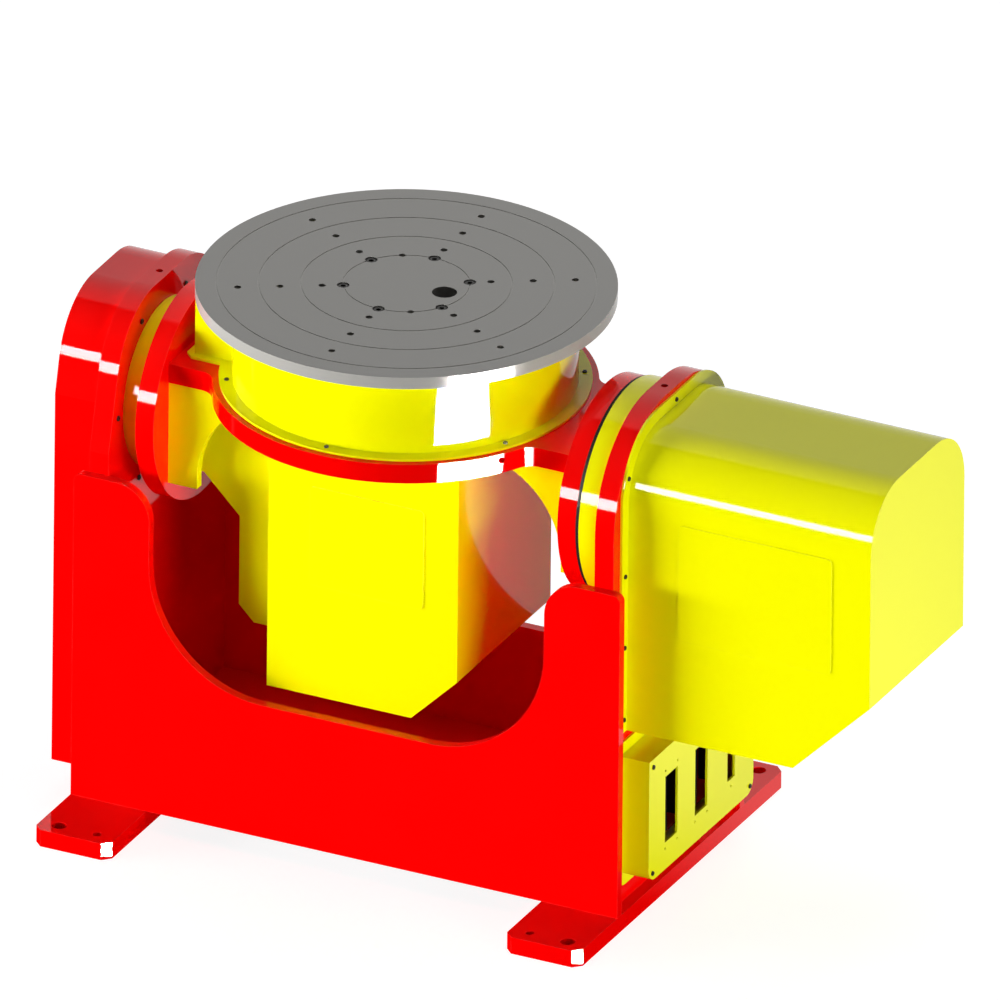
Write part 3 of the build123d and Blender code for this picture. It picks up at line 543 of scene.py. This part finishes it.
def make_contact_tree():
    """Two rows of round contacts on each point of a mesh, looking along +X."""
    tree = bpy.data.node_groups.new("Contact Rows", "GeometryNodeTree")
    interface = tree.interface
    interface.new_socket("Points", in_out="INPUT", socket_type="NodeSocketGeometry")
    for label, value in (("Row Gap", 0.011), ("Row Length", 0.06), ("Contact Radius", 0.0016),
                         ("Contact Height", 0.004)):
        interface.new_socket(label, in_out="INPUT", socket_type="NodeSocketFloat").default_value = value
    interface.new_socket("Contacts", in_out="INPUT", socket_type="NodeSocketInt").default_value = 8
    interface.new_socket("Finish", in_out="INPUT", socket_type="NodeSocketMaterial")
    interface.new_socket("Rows", in_out="OUTPUT", socket_type="NodeSocketGeometry")
    given = tree.nodes.new("NodeGroupInput").outputs
    grid = geometry_node(tree, "GeometryNodeMeshGrid", Size_X=given["Row Length"], Size_Y=given["Row Gap"],
                         Vertices_X=given["Contacts"], Vertices_Y=2)
    pin = geometry_node(tree, "GeometryNodeMeshCylinder", Vertices=12, Radius=given["Contact Radius"],
                        Depth=given["Contact Height"])
    rows = geometry_node(tree, "GeometryNodeInstanceOnPoints", Points=grid.outputs[0],
                         Instance=pin.outputs[0])
    plate = geometry_node(tree, "GeometryNodeRealizeInstances", Geometry=rows.outputs[0])
    turned = geometry_node(tree, "GeometryNodeTransform", Geometry=plate.outputs[0])
    turned.inputs["Rotation"].default_value = (0.0, radians(90), 0.0)
    placed = geometry_node(tree, "GeometryNodeInstanceOnPoints", Points=given["Points"],
                           Instance=turned.outputs[0])
    solid = geometry_node(tree, "GeometryNodeRealizeInstances", Geometry=placed.outputs[0])
    return finish_tree(tree, solid, given["Finish"])


TREES = {}


def tree_of(name):
    if not TREES:
        TREES["Cap Screws"] = make_screw_tree()
        TREES["Contact Rows"] = make_contact_tree()
    return TREES[name]


def solid_boxes(name):
    """Lowest and highest corner of each solid of a CAD node."""
    bm = bmesh.new()
    bm.from_mesh(NODES[name].data)
    bmesh.ops.remove_doubles(bm, verts=bm.verts, dist=0.00001)
    left = set(bm.verts)
    boxes = []
    while left:
        front = [left.pop()]
        island = list(front)
        while front:
            for edge in front.pop().link_edges:
                for vert in edge.verts:
                    if vert in left:
                        left.remove(vert)
                        front.append(vert)
                        island.append(vert)
        low = Vector([min(v.co[i] for v in island) for i in range(3)])
        high = Vector([max(v.co[i] for v in island) for i in range(3)])
        boxes.append((low, high))
    bm.free()
    return sorted(boxes, key=lambda box: tuple(box[0]))


def plain_mesh(modified, name):
    """The evaluated mesh of an object as a new plain piece; the object goes."""
    graph = bpy.context.evaluated_depsgraph_get()
    mesh = bpy.data.meshes.new_from_object(modified.evaluated_get(graph))
    bpy.data.objects.remove(modified)
    mesh.name = name
    piece = bpy.data.objects.new(name, mesh)
    bpy.context.scene.collection.objects.link(piece)
    return piece


def grow(name, tree, points, values):
    """A Geometry Nodes tree run on points, with its inputs set by name."""
    mesh = bpy.data.meshes.new(name + "_places")
    mesh.from_pydata(points, [], [])
    places = bpy.data.objects.new(name + "_places", mesh)
    bpy.context.scene.collection.objects.link(places)
    modifier = places.modifiers.new(tree.name, "NODES")
    modifier.node_group = tree
    for item in tree.interface.items_tree:
        if item.item_type == "SOCKET" and item.name in values:
            modifier[item.identifier] = values[item.name]
    return plain_mesh(places, name)


def make_screws(name, body, seats, facing, radius, height, shank_radius=0.001, shank=0.0):
    """Socket screws on their seats, riding on a body."""
    screws = bpy.context.scene.positioner_screws
    piece = grow(name, tree_of("Cap Screws"), seats, {
        "Head Radius": radius, "Head Height": height, "Edge": min(screws.edge, height / 2),
        "Socket Radius": radius * screws.socket, "Socket Depth": height * screws.depth,
        "Shank Radius": shank_radius, "Shank Length": max(0.0, shank), "Facing": tuple(facing),
        "Finish": finish_of("screws"),
    })
    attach(piece, body)
    return piece


def screw_set(name, facing, height, shank_radius=0.001, share=1.0):
    """Socket screws in the places of a CAD node's plain ones."""
    facing = Vector(facing)
    along = max(range(3), key=lambda i: abs(facing[i]))
    across = [i for i in range(3) if i != along][0]
    boxes = solid_boxes(name)
    low, high = boxes[0]
    radius = share * (high[across] - low[across]) / 2
    shank = high[along] - low[along] - height
    seats = []
    for low, high in boxes:
        seat = (low + high) / 2
        outer = high[along] if facing[along] > 0 else low[along]
        seat[along] = outer - facing[along] * height
        seats.append(seat)
    piece = make_screws(name + "_socket_heads", body_of(name), seats, facing, radius, height,
                        shank_radius, shank)
    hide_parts(name)


def insert_block(bm, seat, width, height):
    """A moulded insert: a block with a raised rim round its contact face, reaching back from its seat."""
    profile = ((-INSERT_DEPTH, 0.0), (INSERT_RIM, 0.0), (INSERT_RIM, INSERT_RIM), (0.0, INSERT_RIM))
    loops = []
    for out, inset in profile:
        y, z = width / 2 - inset, height / 2 - inset
        corners = ((-y, -z), (y, -z), (y, z), (-y, z))
        loops.append([bm.verts.new(seat + Vector((out, a, b))) for a, b in corners])
    bm.faces.new(reversed(loops[0]))
    bm.faces.new(loops[3])
    for below, above in zip(loops, loops[1:]):
        for i in range(4):
            bm.faces.new((below[i], below[(i + 1) % 4], above[(i + 1) % 4], above[i]))


def body_of(name):
    bodies = frame["record"]["behaviour"]["bodies"]
    return next(body for body, nodes in bodies.items() if name in nodes)


# Steps


class POSITIONER_OT_foot_rails(bpy.types.Operator):
    """Paint the two foot rails"""

    bl_idname = "positioner.foot_rails"
    bl_label = "Foot rails"

    def execute(self, context):
        paint_nodes(("left_foot_rail", "right_foot_rail"))
        return {"FINISHED"}


class POSITIONER_OT_plates(bpy.types.Operator):
    """Paint the front, rear and floor plates"""

    bl_idname = "positioner.plates"
    bl_label = "Frame plates"

    def execute(self, context):
        paint_nodes(("front_plate", "rear_plate", "floor_plate"))
        return {"FINISHED"}


class POSITIONER_OT_uprights(bpy.types.Operator):
    """Paint the two uprights"""

    bl_idname = "positioner.uprights"
    bl_label = "Uprights"

    def execute(self, context):
        paint_nodes(("left_upright", "right_upright"))
        return {"FINISHED"}


class POSITIONER_OT_rings(bpy.types.Operator):
    """Finish the bearing rings and their seals"""

    bl_idname = "positioner.rings"
    bl_label = "Bearing rings"

    def execute(self, context):
        paint_nodes(("left_bearing_ring", "right_bearing_ring", "left_ring_seal", "right_ring_seal"))
        return {"FINISHED"}


class POSITIONER_OT_bearings(bpy.types.Operator):
    """Finish the trunnions and the idler bearing"""

    bl_idname = "positioner.bearings"
    bl_label = "Trunnions and bearings"

    def execute(self, context):
        paint_nodes(("idler_bearing_outer", "idler_bearing_cap", "idler_bearing_inner", "idler_lock_nut",
                     "idler_trunnion", "drive_trunnion"))
        return {"FINISHED"}


class POSITIONER_OT_drives(bpy.types.Operator):
    """Finish the reducers and the servo motors"""

    bl_idname = "positioner.drives"
    bl_label = "Drives"

    def execute(self, context):
        paint_nodes(("tilt_gear_unit", "tilt_motor_plate", "tilt_motor",
                     "table_gear_unit", "table_motor_plate", "table_motor"))
        return {"FINISHED"}


class POSITIONER_OT_covers(bpy.types.Operator):
    """Paint the covers of the tilt drive and the idler bearing"""

    bl_idname = "positioner.covers"
    bl_label = "Upright covers"

    def execute(self, context):
        paint_nodes(("idler_cover", "tilt_cover", "tilt_cover_panel"))
        return {"FINISHED"}


class POSITIONER_OT_connectors(bpy.types.Operator):
    """Paint the connector box and its lid"""

    bl_idname = "positioner.connectors"
    bl_label = "Connector box"

    def execute(self, context):
        paint_nodes(("connector_box", "connector_lid"))
        return {"FINISHED"}


class POSITIONER_OT_inserts(bpy.types.Operator):
    """Set the dark contact inserts behind the slots of the connector lid"""

    bl_idname = "positioner.inserts"
    bl_label = "Connector inserts"

    def execute(self, context):
        low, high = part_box("connector_lid")
        middle = (low.y + high.y) / 2
        seats = [Vector((low.x - INSERT_SET_BACK, middle + shift, SLOT_MID_Z)) for shift in SLOT_SHIFTS]
        bm = bmesh.new()
        for seat, (width, height) in zip(seats, INSERT_SIZES):
            insert_block(bm, seat, width, height)
        mesh = bpy.data.meshes.new("connector_inserts")
        bm.to_mesh(mesh)
        bm.free()
        mesh.materials.append(finish_of("seal"))
        inserts = bpy.data.objects.new("connector_inserts", mesh)
        context.scene.collection.objects.link(inserts)
        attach(inserts, body_of("connector_lid"))
        # The contacts take the blackened screw finish so that they stay as dark as the shade inside the
        # slots: their dark colour is partly painted shade.
        contacts = grow("connector_contacts", tree_of("Contact Rows"), seats,
                        {"Finish": finish_of("screws")})
        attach(contacts, body_of("connector_lid"))
        return {"FINISHED"}


class POSITIONER_OT_cradle(bpy.types.Operator):
    """Paint the cradle's ring plate and its two discs"""

    bl_idname = "positioner.cradle"
    bl_label = "Cradle"

    def execute(self, context):
        paint_nodes(("cradle_plate", "left_trunnion_disc", "right_trunnion_disc"))
        return {"FINISHED"}


class POSITIONER_OT_gussets(bpy.types.Operator):
    """Paint the four gussets"""

    bl_idname = "positioner.gussets"
    bl_label = "Gussets"

    def execute(self, context):
        paint_nodes(("front_left_gusset", "rear_left_gusset", "front_right_gusset", "rear_right_gusset"))
        return {"FINISHED"}


class POSITIONER_OT_housings(bpy.types.Operator):
    """Paint the hood, the motor box and the cable duct"""

    bl_idname = "positioner.housings"
    bl_label = "Cradle housings"

    def execute(self, context):
        paint_nodes(("table_shroud", "motor_box", "motor_box_panel", "cable_duct"))
        return {"FINISHED"}


class POSITIONER_OT_turntable(bpy.types.Operator):
    """Finish the turntable, its spindle and its bearing"""

    bl_idname = "positioner.turntable"
    bl_label = "Turntable"

    def execute(self, context):
        paint_nodes(("turntable", "table_spindle", "table_bearing_outer", "table_bearing_inner"))
        return {"FINISHED"}


class POSITIONER_OT_cover_screws(bpy.types.Operator):
    """Set the socket screws of the covers, the connector lid and the hood"""

    bl_idname = "positioner.cover_screws"
    bl_label = "Cover screws"

    def execute(self, context):
        share = context.scene.positioner_screws.cover
        screw_set("tilt_cover_screws", (1, 0, 0), COVER_HEAD, share=share)
        screw_set("connector_lid_screws", (1, 0, 0), COVER_HEAD, share=share)
        screw_set("shroud_screws", (0, 0, 1), COVER_HEAD, share=share)
        return {"FINISHED"}


class POSITIONER_OT_ring_screws(bpy.types.Operator):
    """Set the screws on the left upright round the bearing ring"""

    bl_idname = "positioner.ring_screws"
    bl_label = "Ring screws"

    def execute(self, context):
        low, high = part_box("left_trunnion_disc")
        middle = (low + high) / 2
        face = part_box("left_bearing_ring")[0].x
        seats = []
        for angle in RING_SCREW_ANGLES:
            back = -RING_SCREW_RADIUS * cos(radians(angle))
            rise = RING_SCREW_RADIUS * sin(radians(angle))
            seats.append(Vector((face, middle.y + back, middle.z + rise)))
        make_screws("ring_screws", body_of("left_upright"), seats, (1, 0, 0),
                    RING_SCREW_HEAD, COVER_HEAD)
        return {"FINISHED"}


class POSITIONER_OT_bolts(bpy.types.Operator):
    """Set the socket bolts of the table, the trunnions and the bearing cap"""

    bl_idname = "positioner.bolts"
    bl_label = "Socket bolts"

    def execute(self, context):
        screw_set("table_bolts", (0, 0, 1), TABLE_BOLT_HEAD, TABLE_SHANK_RADIUS)
        screw_set("left_trunnion_bolts", (-1, 0, 0), TRUNNION_HEAD)
        screw_set("right_trunnion_bolts", (1, 0, 0), TRUNNION_HEAD)
        screw_set("idler_cap_screws", (-1, 0, 0), CAP_HEAD)
        return {"FINISHED"}


# Stage


def area_lamp(name, power, size, place, target, shine=True, light=True):
    """A rectangular lamp, itself unseen; shine shows it in gloss, light lets it light surfaces."""
    lamp = bpy.data.lights.new(name, "AREA")
    lamp.energy = power
    lamp.shape = "RECTANGLE"
    lamp.size, lamp.size_y = size
    shape = bpy.data.objects.new(name, lamp)
    shape.location = place
    shape.rotation_euler = (Vector(target) - Vector(place)).to_track_quat("-Z", "Y").to_euler()
    shape.visible_camera = False
    shape.visible_glossy = shine
    shape.visible_diffuse = light
    bpy.context.scene.collection.objects.link(shape)
    return shape


def towards(target, azimuth, height, distance):
    """A place seen from target at an azimuth from the front, towards +X, and a height angle."""
    a, h = radians(azimuth), radians(height)
    return Vector(target) + distance * Vector((sin(a) * cos(h), -cos(a) * cos(h), sin(h)))


def path_ray(tree, *kinds):
    """1 for any of the kinds of ray, 0 for the others."""
    path = tree.nodes.new("ShaderNodeLightPath")
    seen = path.outputs[kinds[0]]
    for kind in kinds[1:]:
        seen = math_node(tree, "MAXIMUM", seen, path.outputs[kind])
    return seen


def ramp_up(tree, value, start, end):
    """0 below start, 1 above end, smooth between."""
    node = tree.nodes.new("ShaderNodeMapRange")
    node.interpolation_type = "SMOOTHSTEP"
    tree.links.new(value, node.inputs["Value"])
    node.inputs["From Min"].default_value = start
    node.inputs["From Max"].default_value = end
    return node.outputs["Result"]


def y_of(tree, output):
    split = tree.nodes.new("ShaderNodeSeparateXYZ")
    tree.links.new(tree.nodes.new("ShaderNodeTexCoord").outputs[output], split.inputs[0])
    return split.outputs["Y"]


def make_world(ambient):
    """White behind the object for the camera and in gloss, dark in gloss on the camera's side."""
    world = bpy.data.worlds.new("Studio")
    world.use_nodes = True
    tree = world.node_tree
    background = tree.nodes["Background"]
    behind = ramp_up(tree, y_of(tree, "Generated"), 0.0, 0.1)
    glossy = math_node(tree, "MULTIPLY", path_ray(tree, "Is Glossy Ray"), behind)
    white = math_node(tree, "MAXIMUM", path_ray(tree, "Is Camera Ray", "Is Transmission Ray"), glossy)
    lit = mix_colour(tree, path_ray(tree, "Is Glossy Ray"), (ambient, ambient, ambient), (0, 0, 0))
    tree.links.new(mix_colour(tree, white, lit, (1, 1, 1)), background.inputs["Color"])
    bpy.context.scene.world = world


def make_floor(colour):
    """Pale floor that keeps the shadow and runs into the white behind it."""
    bm = bmesh.new()
    bmesh.ops.create_grid(bm, x_segments=1, y_segments=1, size=FLOOR_REACH)
    mesh = bpy.data.meshes.new("studio_floor")
    bm.to_mesh(mesh)
    bm.free()
    floor = bpy.data.objects.new("studio_floor", mesh)
    bpy.context.scene.collection.objects.link(floor)
    material, tree, shader = new_material("Studio floor")
    cloudy = mix_colour(tree, noise_node(tree, 1.5), colour, tuple(0.99 * c for c in colour))
    in_gloss = path_ray(tree, "Is Glossy Ray")
    tree.links.new(mix_colour(tree, in_gloss, cloudy, (0, 0, 0)), shader.inputs["Base Color"])
    shader.inputs["Roughness"].default_value = 0.9
    shader.inputs["Specular IOR Level"].default_value = 0.0
    seen = math_node(tree, "MULTIPLY", path_ray(tree, "Is Camera Ray", "Is Transmission Ray"), FLOOR_GLOW)
    behind = ramp_up(tree, y_of(tree, "Object"), -0.1, 0.3)
    mirrored = math_node(tree, "MULTIPLY", in_gloss, math_node(tree, "MULTIPLY", behind, FLOOR_GLOW))
    shader.inputs["Emission Color"].default_value = (1, 1, 1, 1)
    tree.links.new(math_node(tree, "MAXIMUM", seen, mirrored), shader.inputs["Emission Strength"])
    mesh.materials.append(material)


def make_camera():
    across, down = Vector(VIEW_ACROSS), Vector(VIEW_DOWN)
    scale = across.length
    right = across.normalized()
    up = (-down - right * (-down).dot(right)).normalized()
    back = right.cross(up)
    table = Vector((0, TURN_Y, TABLE_TOP))
    middle = VIEW_SIZE_PX / 2
    offset = right * (middle - TABLE_CENTRE_PX[0]) - up * (middle - TABLE_CENTRE_PX[1])
    centre = table + offset / scale / 1000
    data = bpy.data.cameras.new("Camera")
    data.type = "ORTHO"
    data.ortho_scale = VIEW_SIZE_PX / scale / 1000
    data.clip_end = 100
    camera = bpy.data.objects.new("Camera", data)
    turn = Matrix((right, up, back)).transposed()
    camera.matrix_world = Matrix.Translation(centre + back * VIEW_DISTANCE) @ turn.to_4x4()
    bpy.context.scene.collection.objects.link(camera)
    bpy.context.scene.camera = camera


class POSITIONER_OT_stage(bpy.types.Operator):
    """Set the floor, the lamps and the camera"""

    bl_idname = "positioner.stage"
    bl_label = "Stage"

    def execute(self, context):
        stage = context.scene.positioner_stage
        make_world(stage.ambient)
        make_floor(tuple(stage.floor))
        make_camera()
        area_lamp("Key", stage.key, (3.4, 1.2), towards(AIM, -58, 1, 6), AIM, shine=False)
        area_lamp("Side", stage.side, (2.6, 1.0), towards(AIM, 58, 1, 6), AIM, shine=False)
        area_lamp("Top", stage.top, (3.0, 3.0), (0.1, 0.9, 5.2), AIM, shine=False)
        area_lamp("Rear", stage.rear, (3.0, 1.6), towards(AIM, -155, 10, 6), AIM, shine=False)
        for name, share, place, target in LOW_LAMPS:
            area_lamp(name, share * stage.low, (0.8, 0.24), place, target, shine=False)
        area_lamp("Strip", stage.strip, (6.0, 1.4), (-3.0, -7.2, 1.62), AIM, light=False)
        for name, share, size, place, spread in CARDS:
            target = Vector(place) + Vector(CARD_FACING)
            card = area_lamp(name, share * stage.card, size, place, target, light=False)
            card.data.spread = radians(spread)
        context.scene.view_settings.view_transform = "Standard"
        return {"FINISHED"}


class POSITIONER_PT_panel(bpy.types.Panel):
    """Sizes, colours and steps of the positioner"""

    bl_idname = "POSITIONER_PT_panel"
    bl_label = "Workpiece positioner"
    bl_space_type = "VIEW_3D"
    bl_region_type = "UI"
    bl_category = "Positioner"

    def draw(self, context):
        layout = self.layout
        scene = context.scene
        for settings in (scene.positioner_paint, scene.positioner_metal,
                         scene.positioner_screws, scene.positioner_stage):
            box = layout.box()
            for name in settings.__annotations__:
                box.prop(settings, name)
        for step in STEPS:
            layout.operator(step.bl_idname)


SETTINGS = {
    "positioner_paint": PositionerPaint,
    "positioner_metal": PositionerMetal,
    "positioner_screws": PositionerScrews,
    "positioner_stage": PositionerStage,
}
STEPS = (
    POSITIONER_OT_foot_rails,
    POSITIONER_OT_plates,
    POSITIONER_OT_uprights,
    POSITIONER_OT_rings,
    POSITIONER_OT_bearings,
    POSITIONER_OT_drives,
    POSITIONER_OT_covers,
    POSITIONER_OT_connectors,
    POSITIONER_OT_inserts,
    POSITIONER_OT_cradle,
    POSITIONER_OT_gussets,
    POSITIONER_OT_housings,
    POSITIONER_OT_turntable,
    POSITIONER_OT_cover_screws,
    POSITIONER_OT_ring_screws,
    POSITIONER_OT_bolts,
    POSITIONER_OT_stage,
)


def register():
    for cls in (*SETTINGS.values(), *STEPS, POSITIONER_PT_panel):
        bpy.utils.register_class(cls)
    for name, cls in SETTINGS.items():
        setattr(bpy.types.Scene, name, bpy.props.PointerProperty(type=cls))


def unregister():
    for name in SETTINGS:
        delattr(bpy.types.Scene, name)
    for cls in reversed((*SETTINGS.values(), *STEPS, POSITIONER_PT_panel)):
        bpy.utils.unregister_class(cls)


def main():
    register()
    bpy.ops.positioner.foot_rails()
    bpy.ops.positioner.plates()
    bpy.ops.positioner.uprights()
    bpy.ops.positioner.rings()
    bpy.ops.positioner.bearings()
    bpy.ops.positioner.drives()
    bpy.ops.positioner.covers()
    bpy.ops.positioner.connectors()
    bpy.ops.positioner.inserts()
    bpy.ops.positioner.cradle()
    bpy.ops.positioner.gussets()
    bpy.ops.positioner.housings()
    bpy.ops.positioner.turntable()
    bpy.ops.positioner.cover_screws()
    bpy.ops.positioner.ring_screws()
    bpy.ops.positioner.bolts()
    bpy.ops.positioner.stage()


if __name__ == "__main__":
    main()
